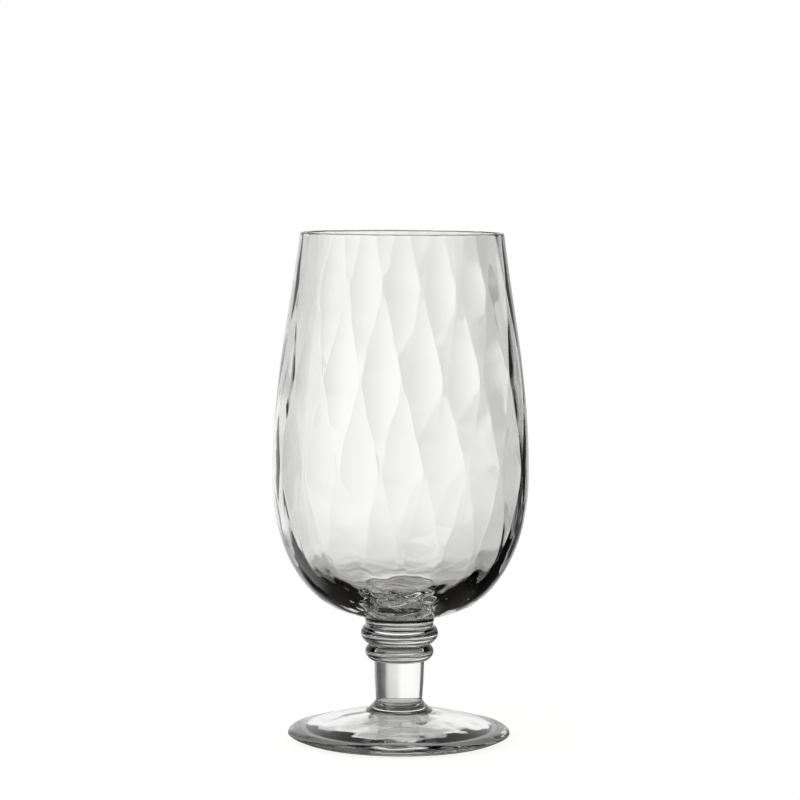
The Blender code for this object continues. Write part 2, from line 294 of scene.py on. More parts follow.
SETTINGS = (
    ("glass_foot", FootSizes),
    ("glass_stem", StemSizes),
    ("glass_bowl", BowlSizes),
    ("glass_optic", OpticSizes),
    ("glass_finish", GlassFinish),
    ("glass_studio", StudioSetup),
)


def bezier(start, start_handle, end_handle, end, count):
    """Points on a cubic curve, from its start up to but not including its end."""
    points = []
    for index in range(count):
        t = index / count
        s = 1.0 - t
        near = s ** 3 * start + 3.0 * s * s * t * start_handle
        far = 3.0 * s * t * t * end_handle + t ** 3 * end
        points.append(near + far)
    return points


def quarter(start, end, handle, count, upright_first):
    """A rounded corner between a flat and an upright tangent, like a quarter of an oval."""
    if upright_first:
        corner = Vector((start.x, end.y))
    else:
        corner = Vector((end.x, start.y))
    return bezier(start, start.lerp(corner, handle), end.lerp(corner, handle), end, count)


def downhill(slope):
    """Direction outwards and down a slope."""
    return Vector((math.cos(slope), -math.sin(slope)))


def smooth_step(low, high, value):
    """Ease from 0 to 1 as a value goes from low to high."""
    t = min(max((value - low) / (high - low), 0.0), 1.0)
    return t * t * (3.0 - 2.0 * t)


def foot_outline(foot):
    """Shallow cone with a round edge, a flat resting ring and a hollow underside."""
    seat = Vector((foot.collar_radius, FOOT_SEAM))
    shoulder = Vector((foot.shoulder_radius, foot.shoulder_height))
    edge = Vector((foot.radius, foot.edge_height))
    rest_outer = Vector((foot.rest_outer, 0.0))
    rest_inner = Vector((foot.rest_inner, 0.0))
    side = Vector((foot.hollow_reach * foot.rest_inner, foot.hollow_lift * foot.kick))
    flat = Vector((foot.hollow_flat * foot.rest_inner, foot.kick))
    kick = Vector((0.0, foot.kick))
    span = shoulder.x - seat.x
    crown = CROWN_HANDLE * span * downhill(foot.crown_slope)
    fall = FALL_HANDLE * span * downhill(foot.slope)
    points = [Vector((0.0, FOOT_SEAM))]
    points += bezier(seat, seat + crown, shoulder - fall, shoulder, 24)
    points += quarter(shoulder, edge, OVAL_HANDLE, 12, False)
    points += quarter(edge, rest_outer, foot.edge_fullness, 20, True)
    points.append(rest_outer)
    points += bezier(rest_inner, side, flat, kick, 24)
    points.append(kick)
    return points


def stem_outline(top_level, curve, foot_radius, foot_level):
    """Close a curve of the stem with the two fused faces above and below it."""
    foot = [Vector((foot_radius, foot_level)), Vector((0.0, foot_level))]
    return [Vector((0.0, top_level))] + curve + foot


def foot_collar_outline(foot, stem):
    """Flared collar, from the shaft's foot down to a thin edge on the foot."""
    top = Vector((stem.shaft_foot, SHAFT_FOOT_SEAM))
    edge = Vector((foot.collar_radius, FOOT_SEAM + foot.collar_edge))
    curve = quarter(top, edge, foot.collar_flare, 24, True)
    return stem_outline(SHAFT_FOOT_SEAM, curve + [edge], foot.collar_radius, FOOT_SEAM)


def shaft_outline(stem):
    """Plain shaft that draws in a little towards the foot."""
    reach = SHAFT_HANDLE * (SHAFT_TOP_SEAM - SHAFT_FOOT_SEAM)
    top = Vector((stem.shaft_top, SHAFT_TOP_SEAM))
    foot = Vector((stem.shaft_foot, SHAFT_FOOT_SEAM))
    upper_handle = Vector((stem.shaft_waist, SHAFT_TOP_SEAM - reach))
    lower_handle = Vector((stem.shaft_waist, SHAFT_FOOT_SEAM + reach))
    curve = bezier(top, upper_handle, lower_handle, foot, 30)
    return stem_outline(SHAFT_TOP_SEAM, curve, stem.shaft_foot, SHAFT_FOOT_SEAM)


def knop_outline(base, top_level, rise, radius, top_radius, foot_radius, roundness):
    """Ring-shaped bulge of the stem, widest at its rise above the seam below."""
    top = Vector((top_radius, top_level))
    middle = Vector((radius, base + rise))
    foot = Vector((foot_radius, base))
    curve = quarter(top, middle, roundness, 22, False) + quarter(middle, foot, roundness, 22, True)
    return stem_outline(top_level, curve, foot_radius, base)


def bowl_collar_outline(stem):
    """Short neck that opens out to the bowl's seat."""
    top = Vector((stem.seat, BOWL_SEAM))
    foot = Vector((stem.neck, NECK_SEAM))
    return stem_outline(BOWL_SEAM, quarter(top, foot, OVAL_HANDLE, 24, False), stem.neck, NECK_SEAM)


def wall_handles(bowl, belly, lip):
    """The handles of the wall's curve between the belly and the lip, which leans inwards."""
    span = lip.y - belly.y
    lean = Vector((math.sin(bowl.rim_lean), -math.cos(bowl.rim_lean)))
    return belly + Vector((0.0, WALL_HANDLE * span)), lip + LIP_HANDLE * span * lean


def bowl_inside(bowl):
    """The bowl's inside, from the middle of its floor up to the edge of the lip."""
    floor = Vector((0.0, BOWL_FOOT + bowl.floor))
    belly = Vector((bowl.belly_radius - bowl.belly_wall, BOWL_FOOT + bowl.inner_rise))
    lip = Vector((bowl.rim_radius - bowl.rim_wall, LIP_LEVEL - bowl.rim_wall / 2))
    floor_handle = floor + Vector((bowl.floor_reach * belly.x, 0.0))
    low_handle = belly - Vector((0.0, bowl.corner_drop * (belly.y - floor.y)))
    top_handle, lip_handle = wall_handles(bowl, belly, lip)
    points = bezier(floor, floor_handle, low_handle, belly, 64)
    points += bezier(belly, top_handle, lip_handle, lip, 80)
    points.append(lip)
    return points


def bowl_lip(bowl):
    """Half round over the top of the rim, with the angle of each point from the inner wall."""
    centre = Vector((bowl.rim_radius - bowl.rim_wall / 2, LIP_LEVEL - bowl.rim_wall / 2))
    points = []
    for index in range(1, 10):
        angle = math.pi * index / 10
        point = centre + bowl.rim_wall / 2 * Vector((-math.cos(angle), math.sin(angle)))
        points.append((point, angle))
    return points


def bowl_outside(bowl, stem):
    """The bowl's outside, from the edge of the lip down to the edge of its seat."""
    lip = Vector((bowl.rim_radius, LIP_LEVEL - bowl.rim_wall / 2))
    belly = Vector((bowl.belly_radius, BOWL_FOOT + bowl.belly_rise))
    seat = Vector((stem.seat, BOWL_SEAM))
    top_handle, lip_handle = wall_handles(bowl, belly, lip)
    low_handle = belly - Vector((0.0, BASE_HANDLE * bowl.belly_rise))
    seat_handle = seat + BASE_HANDLE * (belly.x - seat.x) * downhill(-bowl.base_slope)
    points = bezier(lip, lip_handle, top_handle, belly, 40)
    points += bezier(belly, low_handle, seat_handle, seat, 40)
    points.append(seat)
    return points


def turned_blank(name, outline, steps, fused_spans, shares=None):
    """Turn an outline of (radius, level) points about Z into a closed mesh object.

    The outline goes from axis to axis with the glass on its left. Spans of it that lie in a fused
    face are marked on their faces, and each point's share of the optic on its vertices.
    """
    mesh = bpy.data.meshes.new(name)
    work = bmesh.new()
    fused = work.faces.layers.bool.new("fused")
    pressed = work.verts.layers.float.new("optic_share")
    rings = []
    for index, point in enumerate(outline):
        weight = shares[index] if shares else 0.0
        count = 1 if point.x < 1e-7 else steps
        ring = []
        for step in range(count):
            angle = FULL_TURN * step / steps
            ring.append(work.verts.new((point.x * math.cos(angle), point.x * math.sin(angle), point.y)))
            ring[-1][pressed] = weight
        rings.append(ring)
    for index in range(len(rings) - 1):
        upper, lower = rings[index], rings[index + 1]
        for near in range(steps):
            far = (near + 1) % steps
            if len(upper) == 1:
                corners = (upper[0], lower[near], lower[far])
            elif len(lower) == 1:
                corners = (upper[near], lower[0], upper[far])
            else:
                corners = (upper[near], lower[near], lower[far], upper[far])
            face = work.faces.new(corners)
            face[fused] = index in fused_spans
            face.smooth = index not in fused_spans
    for edge in work.edges:
        if len(edge.link_faces) != 2:
            work.free()
            raise RuntimeError(name + " is not a closed mesh")
        edge.smooth = edge.link_faces[0][fused] == edge.link_faces[1][fused]
    work.to_mesh(mesh)
    work.free()
    blank = bpy.data.objects.new(name, mesh)
    bpy.context.scene.collection.objects.link(blank)
    return blank


def feed(tree, socket, source):
    """Link a socket to its source, or set it to a plain value."""
    if isinstance(source, bpy.types.NodeSocket):
        tree.links.new(source, socket)
    else:
        socket.default_value = source


def add_node(tree, kind, label="", inputs=None, **settings):
    """Add a node to a tree, to the right of those already there, and feed its inputs."""
    node = tree.nodes.new(kind)
    node.label = label
    node.location = (190.0 * (len(tree.nodes) % 12), -240.0 * (len(tree.nodes) // 12))
    for key, value in settings.items():
        setattr(node, key, value)
    for key, source in (inputs or {}).items():
        feed(tree, node.inputs[key], source)
    return node


def calc(tree, operation, *terms):
    """The result of a math node."""
    return add_node(tree, "ShaderNodeMath", "", dict(enumerate(terms)), operation=operation).outputs[0]


def plus(tree, first, second):
    """The sum of two values."""
    return calc(tree, "ADD", first, second)


def minus(tree, first, second):
    """The difference of two values."""
    return calc(tree, "SUBTRACT", first, second)


def times(tree, first, *others):
    """The product of values."""
    for other in others:
        first = calc(tree, "MULTIPLY", first, other)
    return first


def over(tree, first, second):
    """The quotient of two values."""
    return calc(tree, "DIVIDE", first, second)


def eased(tree, label, value, low, high):
    """A value's smooth way from 0 at low to 1 at high."""
    way = {"Value": value, "From Min": low, "From Max": high}
    return add_node(tree, "ShaderNodeMapRange", label, way, interpolation_type="SMOOTHSTEP").outputs[0]


# Sockets of a mix node: its first and second input and its result
MIX_SOCKETS = {"FLOAT": (2, 3, 0), "VECTOR": (4, 5, 1), "RGBA": (6, 7, 2)}


def blend(tree, label, kind, factor, first, second):
    """The result of a mix node for numbers, vectors or colours."""
    first_socket, second_socket, result = MIX_SOCKETS[kind]
    ends = {0: factor, first_socket: first, second_socket: second}
    return add_node(tree, "ShaderNodeMix", label, ends, data_type=kind).outputs[result]


def split(tree, vector):
    """The x, y and z of a vector."""
    return add_node(tree, "ShaderNodeSeparateXYZ", "place", {0: vector}).outputs


def join(tree, label, *parts):
    """The vector of an x, a y and a z."""
    return add_node(tree, "ShaderNodeCombineXYZ", label, dict(enumerate(parts))).outputs[0]


def vector_length(tree, vector):
    """The length of a vector."""
    return add_node(tree, "ShaderNodeVectorMath", "reach", {0: vector}, operation="LENGTH").outputs["Value"]


def axis_reach(tree, x, y):
    """The distance of a place from the Z axis."""
    return calc(tree, "SQRT", plus(tree, times(tree, x, x), times(tree, y, y)))


def new_group(name, kind, inputs, outputs):
    """An empty node group, its named inputs, and the node that its named outputs are fed to.

    Inputs and outputs are given as the kind of a socket and the names that have it.
    """
    tree = bpy.data.node_groups.new(name, kind)
    for way, sockets in (("INPUT", inputs), ("OUTPUT", outputs)):
        for socket_kind, names in sockets:
            for socket_name in names:
                tree.interface.new_socket(socket_name, in_out=way, socket_type="NodeSocket" + socket_kind)
    return tree, add_node(tree, "NodeGroupInput").outputs, add_node(tree, "NodeGroupOutput")


def cached(collection, name, make):
    """An entry of a data collection by its name, made the first time it is asked for."""
    return collection.get(name) or make()


def uneven(tree, label, position, size, seed):
    """Nodes of a soft noise about zero, with waves of a given size."""
    waves = {"Vector": position, "W": seed, "Scale": over(tree, 1.0, size), "Detail": 1.0}
    noise = add_node(tree, "ShaderNodeTexNoise", label, waves, noise_dimensions="4D")
    return minus(tree, noise.outputs[0], 0.5)


def glazed_mesh(tree, given, geometry):
    """Nodes that end a tree: the real mesh, with glass on it and the other material on fused faces."""
    real = add_node(tree, "GeometryNodeRealizeInstances", "", {"Geometry": geometry})
    fused = add_node(tree, "GeometryNodeInputNamedAttribute", "fused", {"Name": "fused"},
                     data_type="BOOLEAN")
    glazed = add_node(tree, "GeometryNodeSetMaterial", "glass",
                      {"Geometry": real.outputs[0], "Material": given["Glass"]})
    joined = add_node(tree, "GeometryNodeSetMaterial", "fused face",
                      {"Geometry": glazed.outputs[0], "Selection": fused.outputs[0],
                       "Material": given["Fused face"]})
    return joined.outputs[0]


def lozenge_point(tree, given, position):
    """Nodes that give each inner wall point its place on a crease, or on the pillow between two."""
    x, y, z = split(tree, position)
    half = over(tree, math.pi, given["Lozenges round"])
    turned = minus(tree, calc(tree, "ARCTAN2", y, x), given["Start angle"])
    creases = calc(tree, "FLOORED_MODULO", over(tree, turned, half),
                   times(tree, given["Lozenges round"], 2.0))
    crease = calc(tree, "FLOOR", creases)
    along = calc(tree, "FRACT", creases)
    bunch = calc(tree, "SINE", times(tree, along, FULL_TURN))
    across = minus(tree, along, times(tree, bunch, given["Crease edge"]))
    side = minus(tree, 1.0, times(tree, calc(tree, "FLOORED_MODULO", crease, 2.0), 2.0))
    rows = over(tree, minus(tree, given["First row level"], z), given["Row height"])
    wave = calc(tree, "COSINE", times(tree, rows, math.pi))
    rounded = over(tree, calc(tree, "ARCSINE", times(tree, wave, given["Sharpness"])),
                   calc(tree, "ARCSINE", given["Sharpness"]))
    lean = times(tree, rounded, given["Swing"], side)
    width = times(tree, half, minus(tree, 1.0, lean))
    start = plus(tree, given["Start angle"], times(tree, half, plus(tree, crease, times(tree, lean, 0.5))))
    angle = plus(tree, start, times(tree, across, width))
    breadth = over(tree, width, times(tree, half, 2.0))
    crown = times(tree, across, minus(tree, 1.0, across), 4.0)
    swell = times(tree, given["Depth"], calc(tree, "POWER", breadth, 2.0), crown)
    waves = times(tree, given["Unevenness"],
                  uneven(tree, "unevenness", position, given["Unevenness size"], given["Seed"]))
    pressed = minus(tree, axis_reach(tree, x, y), plus(tree, swell, waves))
    return join(tree, "pressed place", times(tree, pressed, calc(tree, "COSINE", angle)),
                times(tree, pressed, calc(tree, "SINE", angle)), z)


def hand_turned_tree():
    """Tree that makes a turned piece a little uneven and gives it its glass and its fused faces.

    A slow ripple moves the sides in and out. A finer wave, drawn out round the axis, moves the flats
    up and down; it begins outside the seam that the piece shares with the stem, and leaves the level
    of the table alone.
    """
    tree, given, made = new_group(
        "hand turned", "GeometryNodeTree",
        (("Geometry", ("Geometry",)),
         ("Float", ("Ripple", "Ripple size", "Wave", "Wave size", "Wave breaks", "Wave start", "Seed")),
         ("Material", ("Glass", "Fused face"))),
        (("Geometry", ("Geometry",)),))
    position = add_node(tree, "GeometryNodeInputPosition").outputs[0]
    outwards = add_node(tree, "ShaderNodeVectorMath", "outwards", {0: position, 1: (1.0, 1.0, 0.0)},
                        operation="MULTIPLY").outputs[0]
    reach = vector_length(tree, outwards)
    x, y, z = split(tree, position)
    free = eased(tree, "free of the seam", reach, given["Wave start"],
                 plus(tree, given["Wave start"], SEAM_EASE))
    clear = add_node(tree, "ShaderNodeMapRange", "clear of the table", {"Value": z, "From Max": TABLE_EASE})
    ripple = times(tree, uneven(tree, "ripple", position, given["Ripple size"], given["Seed"]),
                   given["Ripple"])
    ringed = join(tree, "drawn out round the axis", reach, times(tree, x, given["Wave breaks"]),
                  times(tree, y, given["Wave breaks"]))
    wave = times(tree, uneven(tree, "wave", ringed, given["Wave size"], given["Seed"]), given["Wave"])
    lift = times(tree, wave, times(tree, free, clear.outputs[0]))
    spread = join(tree, "spread", ripple, ripple)
    rise = join(tree, "rise", 0.0, 0.0, lift)
    shift = add_node(tree, "ShaderNodeVectorMath", "shift", {0: outwards, 1: spread, 2: rise},
                     operation="MULTIPLY_ADD")
    moved = add_node(tree, "GeometryNodeSetPosition", "",
                     {"Geometry": given["Geometry"], "Offset": shift.outputs[0]})
    feed(tree, made.inputs[0], glazed_mesh(tree, given, moved.outputs[0]))
    return tree


def diamond_optic_tree():
    """Tree that presses the lozenges into the inner wall, by each point's share of the optic."""
    tree, given, made = new_group(
        "diamond optic", "GeometryNodeTree",
        (("Geometry", ("Geometry",)),
         ("Int", ("Lozenges round",)),
         ("Float", ("Row height", "First row level", "Depth", "Start angle", "Swing", "Sharpness",
                    "Crease edge", "Unevenness", "Unevenness size", "Seed")),
         ("Material", ("Glass", "Fused face"))),
        (("Geometry", ("Geometry",)),))
    position = add_node(tree, "GeometryNodeInputPosition").outputs[0]
    pressed = lozenge_point(tree, given, position)
    held = add_node(tree, "GeometryNodeInputNamedAttribute", "optic share", {"Name": "optic_share"},
                    data_type="FLOAT")
    moved = add_node(tree, "GeometryNodeSetPosition", "",
                     {"Geometry": given["Geometry"],
                      "Position": blend(tree, "press", "VECTOR", held.outputs[0], position, pressed)})
    feed(tree, made.inputs[0], glazed_mesh(tree, given, moved.outputs[0]))
    return tree


def worked_mesh(piece, tree, values):
    """Run a node tree on a piece and keep the result as its plain mesh."""
    step = piece.modifiers.new(tree.name, "NODES")
    step.node_group = tree
    for item in tree.interface.items_tree:
        if item.item_type == "SOCKET" and item.in_out == "INPUT" and item.name in values:
            step[item.identifier] = values[item.name]
    graph = bpy.context.evaluated_depsgraph_get()
    mesh = bpy.data.meshes.new_from_object(piece.evaluated_get(graph), preserve_all_data_layers=True,
                                           depsgraph=graph)
    piece.modifiers.remove(step)
    old = piece.data
    piece.data = mesh
    bpy.data.meshes.remove(old)
    mesh.name = piece.name


def glass_streaks():
    """Group of the faint streaks and waves that hand-gathered glass keeps."""
    tree, given, made = new_group(
        "glass streaks", "ShaderNodeTree",
        (("Vector", ("Vector",)), ("Float", ("Size",)), ("Color", ("Clear", "Streak")),
         ("Float", ("Smooth", "Worn"))),
        (("Color", ("Colour",)), ("Float", ("Roughness", "Height"))))
    scale = over(tree, 1.0, given["Size"])
    drawn = add_node(tree, "ShaderNodeVectorMath", "drawn round the axis",
                     {0: given["Vector"], 1: (1.0, 1.0, STREAK_DRAW)}, operation="MULTIPLY")
    streak = add_node(tree, "ShaderNodeTexNoise", "streaks",
                      {"Vector": drawn.outputs[0], "Scale": scale, "Detail": 2.0}).outputs[0]
    film = add_node(tree, "ShaderNodeTexNoise", "film",
                    {"Vector": given["Vector"], "Scale": times(tree, scale, FILM_FINENESS)}).outputs[0]
    rough = add_node(tree, "ShaderNodeMapRange", "film",
                     {"Value": film, "To Min": given["Smooth"], "To Max": given["Worn"]})
    feed(tree, made.inputs["Colour"], blend(tree, "tint", "RGBA", streak, given["Clear"], given["Streak"]))
    feed(tree, made.inputs["Roughness"], rough.outputs[0])
    feed(tree, made.inputs["Height"], streak)
    return tree


def painted_shade_lines():
    """Group of painted shade: fine dark lines round the axis, put into the colour of the rings and collars to
    stand in for the dark refracted edges of the rings.
    """
    tree, given, made = new_group(
        "painted shade lines", "ShaderNodeTree",
        (("Vector", ("Vector",)), ("Float", ("Spacing", "Start", "Width", "Strength"))),
        (("Float", ("Line",)),))
    x, y, z = split(tree, given["Vector"])
    scale = over(tree, LINE_DRIFT, given["Spacing"])
    drift = add_node(tree, "ShaderNodeTexNoise", "drift",
                     {"Vector": given["Vector"], "Scale": scale, "Detail": 1.0})
    turns = plus(tree, over(tree, z, given["Spacing"]), drift.outputs[0])
    crest = calc(tree, "ABSOLUTE", minus(tree, calc(tree, "FRACT", turns), 0.5))
    line = eased(tree, "line", crest, given["Width"], 0.0)
    spread = eased(tree, "outside the shaft", axis_reach(tree, x, y), given["Start"],
                   plus(tree, given["Start"], LINE_EASE))
    feed(tree, made.inputs[0], times(tree, line, spread, given["Strength"]))
    return tree


def clear_glass(name, streak_size, wave_depth, worn, shade_lined=False):
    """Clear fire-polished glass with faint streaks, for one slot of the record."""
    finish = bpy.context.scene.glass_finish
    material = bpy.data.materials.new(name)
    material.use_nodes = True
    tree = material.node_tree
    shader = tree.nodes["Principled BSDF"]
    shader.inputs["Metallic"].default_value = 0.0
    shader.inputs["IOR"].default_value = GLASS_IOR
    shader.inputs["Transmission Weight"].default_value = 1.0
    place = add_node(tree, "ShaderNodeTexCoord").outputs["Object"]
    streaks = add_node(tree, "ShaderNodeGroup", "streaks",
                       {"Vector": place, "Size": streak_size, "Clear": finish.clear,
                        "Streak": finish.streak, "Smooth": 0.0, "Worn": worn},
                       node_tree=cached(bpy.data.node_groups, "glass streaks", glass_streaks))
    bump = add_node(tree, "ShaderNodeBump", "waves",
                    {"Strength": 1.0, "Distance": wave_depth, "Height": streaks.outputs["Height"]})
    colour = streaks.outputs["Colour"]
    # Painted shade: dark lines blended into the glass colour outside the shaft, in place of the dark edges
    # that the rings refract.
    if shade_lined:
        lines = add_node(tree, "ShaderNodeGroup", "painted shade lines",
                         {"Vector": place, "Spacing": finish.line_spacing,
                          "Start": bpy.context.scene.glass_stem.shaft_top,
                          "Width": finish.line_width, "Strength": finish.line_strength},
                         node_tree=cached(bpy.data.node_groups, "painted shade lines", painted_shade_lines))
        colour = blend(tree, "shade_lined", "RGBA", lines.outputs[0], colour, finish.line_colour)
    feed(tree, shader.inputs["Base Color"], colour)
    feed(tree, shader.inputs["Roughness"], streaks.outputs["Roughness"])
    feed(tree, shader.inputs["Normal"], bump.outputs[0])
    return material


def bowl_glass():
    """Thin blown glass, almost without streaks."""
    name = "blown_bowl_glass"
    return cached(bpy.data.materials, name,
                  lambda: clear_glass(name, streak_size=0.030, wave_depth=0.00002, worn=0.02))


def stem_glass():
    """Solid glass, turned with tools, with painted dark shade lines on its rings."""
    name = "turned_stem_glass"
    return cached(bpy.data.materials, name,
                  lambda: clear_glass(name, streak_size=0.012, wave_depth=0.00002, worn=0.03, shade_lined=True))


def foot_glass():
    """Solid glass, pressed flat and a little wavy."""
    name = "pressed_foot_glass"
    return cached(bpy.data.materials, name,
                  lambda: clear_glass(name, streak_size=0.014, wave_depth=0.00004, worn=0.03))


def fused_face():
    """The face that two fused gathers share, which light passes without a trace."""
    def make():
        material = bpy.data.materials.new("fused_face")
        material.use_nodes = True
        material.node_tree.nodes["Principled BSDF"].inputs["Alpha"].default_value = 0.0
        return material
    return cached(bpy.data.materials, "fused_face", make)


def hand_finish(piece, glass, wave=0.0, wave_size=0.01, wave_start=0.0):
    """Give a turned piece the unevenness of hand work, its glass and its fused faces."""
    finish = bpy.context.scene.glass_finish
    tree = cached(bpy.data.node_groups, "hand turned", hand_turned_tree)
    worked_mesh(piece, tree, {
        "Ripple": finish.ripple, "Ripple size": finish.ripple_size, "Seed": float(finish.seed),
        "Wave": wave, "Wave size": wave_size, "Wave breaks": finish.wave_breaks, "Wave start": wave_start,
        "Glass": glass, "Fused face": fused_face()})


def seat_piece(piece, node):
    """Let a finished piece stand for its CAD node."""
    if len(piece.data.polygons) == 0:
        raise RuntimeError(piece.name + " has no faces")
    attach(piece, BODY)
    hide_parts(node)


def turn_stem_piece(name, node, outline):
    """Make one gather of the stem, which has a fused face at each end."""
    piece = turned_blank(name, outline, STEM_STEPS, {0, len(outline) - 2})
    hand_finish(piece, stem_glass())
    seat_piece(piece, node)


class FootOperator(bpy.types.Operator):
    """Turn the round foot"""
    bl_idname = "footed_glass.foot"
    bl_label = "Foot"

    def execute(self, context):
        foot, finish = context.scene.glass_foot, context.scene.glass_finish
        piece = turned_blank("glass_foot", foot_outline(foot), FOOT_STEPS, {0})
        hand_finish(piece, foot_glass(), finish.foot_wave, finish.foot_wave_size, foot.collar_radius)
        seat_piece(piece, "foot")
        return {"FINISHED"}


class FootCollarOperator(bpy.types.Operator):
    """Turn the flared collar that ties the shaft to the foot"""
    bl_idname = "footed_glass.foot_collar"
    bl_label = "Foot collar"

    def execute(self, context):
        outline = foot_collar_outline(context.scene.glass_foot, context.scene.glass_stem)
        turn_stem_piece("glass_foot_collar", "foot_collar", outline)
        return {"FINISHED"}


class ShaftOperator(bpy.types.Operator):
    """Turn the plain shaft of the stem"""
    bl_idname = "footed_glass.shaft"
    bl_label = "Stem shaft"

    def execute(self, context):
        turn_stem_piece("glass_shaft", "stem_shaft", shaft_outline(context.scene.glass_stem))
        return {"FINISHED"}


class KnopsOperator(bpy.types.Operator):
    """Turn the two rings of the stem"""
    bl_idname = "footed_glass.knops"
    bl_label = "Rings"

    def execute(self, context):
        stem = context.scene.glass_stem
        lower = knop_outline(SHAFT_TOP_SEAM, GROOVE_SEAM, stem.lower_rise, stem.lower_knop,
                             stem.groove, stem.lower_foot, stem.roundness)
        upper = knop_outline(GROOVE_SEAM, NECK_SEAM, stem.upper_rise, stem.upper_knop,
                             stem.neck, stem.groove, stem.roundness)
        turn_stem_piece("glass_lower_knop", "lower_knop", lower)
        turn_stem_piece("glass_upper_knop", "upper_knop", upper)
        return {"FINISHED"}


class BowlCollarOperator(bpy.types.Operator):
    """Turn the short neck under the bowl"""
    bl_idname = "footed_glass.bowl_collar"
    bl_label = "Bowl collar"

    def execute(self, context):
        turn_stem_piece("glass_bowl_collar", "bowl_collar", bowl_collar_outline(context.scene.glass_stem))
        return {"FINISHED"}


class BowlOperator(bpy.types.Operator):
    """Blow the bowl and press the lozenges into its inner wall"""
    bl_idname = "footed_glass.bowl"
    bl_label = "Bowl"

    def execute(self, context):
        bowl, optic = context.scene.glass_bowl, context.scene.glass_optic
        stem, finish = context.scene.glass_stem, context.scene.glass_finish
        inside = bowl_inside(bowl)
        lip = bowl_lip(bowl)
        outline = inside + [point for point, angle in lip] + bowl_outside(bowl, stem)
        outline.append(Vector((0.0, BOWL_SEAM)))
        shares = [smooth_step(optic.fade_start, optic.fade_end, point.x) for point in inside]
        shares += [max(0.0, math.cos(angle)) for point, angle in lip]
        shares += [0.0] * (len(outline) - len(shares))
        piece = turned_blank("glass_bowl", outline, LOZENGE_STEPS * optic.cells, {len(outline) - 2}, shares)
        pitch = FULL_TURN / optic.cells
        worked_mesh(piece, cached(bpy.data.node_groups, "diamond optic", diamond_optic_tree), {
            "Lozenges round": optic.cells, "Row height": optic.row_height,
            "First row level": LIP_LEVEL - optic.first_row, "Depth": optic.depth,
            "Start angle": FRONT_ANGLE + optic.phase - 0.75 * pitch, "Swing": optic.swing,
            "Sharpness": optic.sharpness, "Crease edge": optic.crease_edge, "Unevenness": optic.uneven,
            "Unevenness size": optic.uneven_size, "Seed": float(finish.seed), "Glass": bowl_glass(),
            "Fused face": fused_face()})
        hand_finish(piece, bowl_glass(), finish.floor_wave, finish.floor_wave_size, stem.seat)
        seat_piece(piece, "bowl")
        return {"FINISHED"}


def room_ramp(tree, label, fraction, stops, span):
    """A ramp of greys whose stops are given in degrees over a span."""
    ramp = add_node(tree, "ShaderNodeValToRGB", label, {0: fraction})
    elements = ramp.color_ramp.elements
    while len(elements) < len(stops):
        elements.new(0.5)
    for element, (degrees, grey) in zip(elements, stops):
        element.position = (degrees - span[0]) / (span[1] - span[0])
        element.color = (grey, grey, grey, 1.0)
    return ramp.outputs[0]


def through_glass(tree, path):
    """1 for light that the glass reflects or lets through, and 0 for other light."""
    return calc(tree, "MAXIMUM", path.outputs["Is Glossy Ray"], path.outputs["Is Transmission Ray"])


def studio_world(studio):
    """White to the eye; a bright wall with dark flags beside it to the glass; plain light to the floor."""
    world = bpy.data.worlds.new("studio")
    world.use_nodes = True
    tree = world.node_tree
    x, y, z = split(tree, add_node(tree, "ShaderNodeTexCoord").outputs["Generated"])
    height = calc(tree, "ARCSINE", z)
    rise = calc(tree, "DEGREES", height)
    rise_share = plus(tree, over(tree, height, math.pi), 0.5)
    round_share = plus(tree, over(tree, calc(tree, "ARCTAN2", x, y), FULL_TURN), 0.5)
    walls = room_ramp(tree, "deep round the glass", round_share, DEEP_ROUND, (-180.0, 180.0))
    for label, stops, bottom, top in ROUNDS:
        next_wall = room_ramp(tree, label + " round the glass", round_share, stops, (-180.0, 180.0))
        above = eased(tree, "up to " + label, rise, bottom, top)
        walls = blend(tree, "walls", "FLOAT", above, walls, next_wall)
    behind = room_ramp(tree, "up the wall behind", rise_share, ROOM_RISE, (-90.0, 90.0))
    before = room_ramp(tree, "up the wall in front", rise_share, FRONT_RISE, (-90.0, 90.0))
    side = eased(tree, "behind to in front", y, WALL_BLEND, -WALL_BLEND)
    room = times(tree, walls, blend(tree, "up the walls", "FLOAT", side, behind, before), studio.wall)
    path = add_node(tree, "ShaderNodeLightPath")
    seen = blend(tree, "what the glass sees", "FLOAT", through_glass(tree, path), studio.fill, room)
    shown = blend(tree, "what the eye sees", "FLOAT", path.outputs["Is Camera Ray"], seen, 1.0)
    feed(tree, tree.nodes["Background"].inputs["Color"], shown)
    bpy.context.scene.world = world


def pale_floor(studio):
    """A plain matt floor under the glass, which the eye sees as white and which keeps the shadow, with a
    painted pool of light under the foot that shows only through the glass.
    """
    half = studio.floor_size / 2
    mesh = bpy.data.meshes.new("floor")
    work = bmesh.new()
    bmesh.ops.create_circle(work, cap_ends=True, segments=96, radius=half)
    work.to_mesh(mesh)
    work.free()
    floor = bpy.data.objects.new("floor", mesh)
    bpy.context.scene.collection.objects.link(floor)
    material = bpy.data.materials.new("pale_floor")
    material.use_nodes = True
    tree = material.node_tree
    shader = tree.nodes["Principled BSDF"]
    shader.inputs["Base Color"].default_value = studio.floor_colour
    shader.inputs["Roughness"].default_value = 0.9
    shader.inputs["Specular IOR Level"].default_value = 0.0
    shader.inputs["Emission Color"].default_value = (1.0, 1.0, 1.0, 1.0)
    path = add_node(tree, "ShaderNodeLightPath")
    place = add_node(tree, "ShaderNodeTexCoord").outputs["Object"]
    reach = vector_length(tree, place)
    gathered = eased(tree, "painted glow", reach, studio.glow_end, studio.glow_whole)
    lift = times(tree, path.outputs["Is Camera Ray"], studio.floor_lift)
    # Painted light: the floor glows under the foot for rays through the glass, in place of the light that the
    # glass would pass onto it.
    glow = times(tree, through_glass(tree, path), gathered, studio.painted_floor_glow)
    feed(tree, shader.inputs["Emission Strength"], plus(tree, lift, glow))
    feed(tree, shader.inputs["Alpha"], eased(tree, "fade", reach, half, half - studio.floor_fade))
    mesh.materials.append(material)


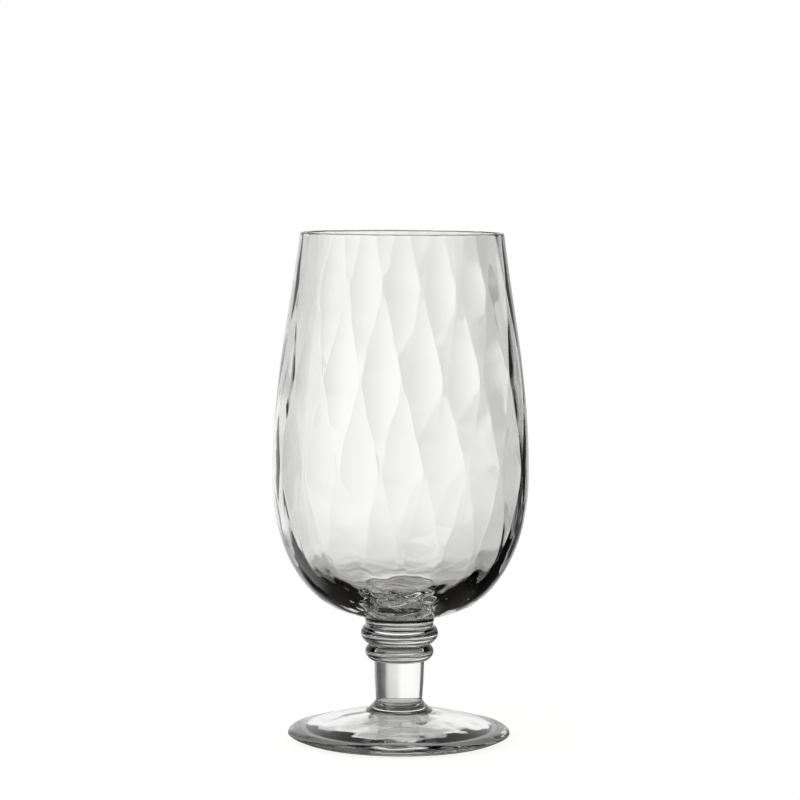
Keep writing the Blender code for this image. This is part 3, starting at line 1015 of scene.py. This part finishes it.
class StageOperator(bpy.types.Operator):
    """Set up the camera, the soft lamp, the room and the floor"""
    bl_idname = "footed_glass.stage"
    bl_label = "Studio"

    def execute(self, context):
        studio = context.scene.glass_studio
        eye, target = Vector(studio.eye), Vector(studio.target)
        camera = bpy.data.objects.new("camera", bpy.data.cameras.new("camera"))
        context.scene.collection.objects.link(camera)
        aim = (target - eye).to_track_quat("-Z", "Y").to_matrix().to_4x4()
        camera.matrix_world = Matrix.Translation(eye) @ aim @ Matrix.Rotation(studio.roll, 4, "Z")
        camera.data.lens = studio.lens
        camera.data.sensor_width = SENSOR_WIDTH
        context.scene.camera = camera
        soft = bpy.data.lights.new("soft_lamp", "AREA")
        soft.size = LAMP_WIDTH
        soft.energy = studio.lamp_power
        lamp = bpy.data.objects.new("soft_lamp", soft)
        context.scene.collection.objects.link(lamp)
        lamp.location = LAMP_PLACE
        lamp.rotation_euler = (target - lamp.location).to_track_quat("-Z", "Y").to_euler()
        pale_floor(studio)
        studio_world(studio)
        context.scene.view_settings.view_transform = "Standard"
        return {"FINISHED"}


OPERATORS = (
    FootOperator, FootCollarOperator, ShaftOperator, KnopsOperator, BowlCollarOperator, BowlOperator,
    StageOperator,
)


class GlassPanel(bpy.types.Panel):
    """Lists the pieces of the glass and their sizes"""
    bl_idname = "VIEW3D_PT_footed_glass"
    bl_label = "Footed glass"
    bl_space_type = "VIEW_3D"
    bl_region_type = "UI"
    bl_category = "Glass"

    def draw(self, context):
        for operator in OPERATORS:
            self.layout.operator(operator.bl_idname)
        for name, group in SETTINGS:
            box = self.layout.box()
            box.label(text=group.__doc__.rstrip("."))
            for key in group.__annotations__:
                box.prop(getattr(context.scene, name), key)


def register():
    """Register the settings, the operators and the panel."""
    for name, group in SETTINGS:
        bpy.utils.register_class(group)
        setattr(bpy.types.Scene, name, PointerProperty(type=group))
    for operator in OPERATORS:
        bpy.utils.register_class(operator)
    bpy.utils.register_class(GlassPanel)


def unregister():
    """Take everything off again, in the opposite order."""
    bpy.utils.unregister_class(GlassPanel)
    for operator in reversed(OPERATORS):
        bpy.utils.unregister_class(operator)
    for name, group in reversed(SETTINGS):
        delattr(bpy.types.Scene, name)
        bpy.utils.unregister_class(group)


def main():
    """Build the glass from the foot up, and set the stage."""
    register()
    bpy.ops.footed_glass.foot()
    bpy.ops.footed_glass.foot_collar()
    bpy.ops.footed_glass.shaft()
    bpy.ops.footed_glass.knops()
    bpy.ops.footed_glass.bowl_collar()
    bpy.ops.footed_glass.bowl()
    bpy.ops.footed_glass.stage()


if __name__ == "__main__":
    main()
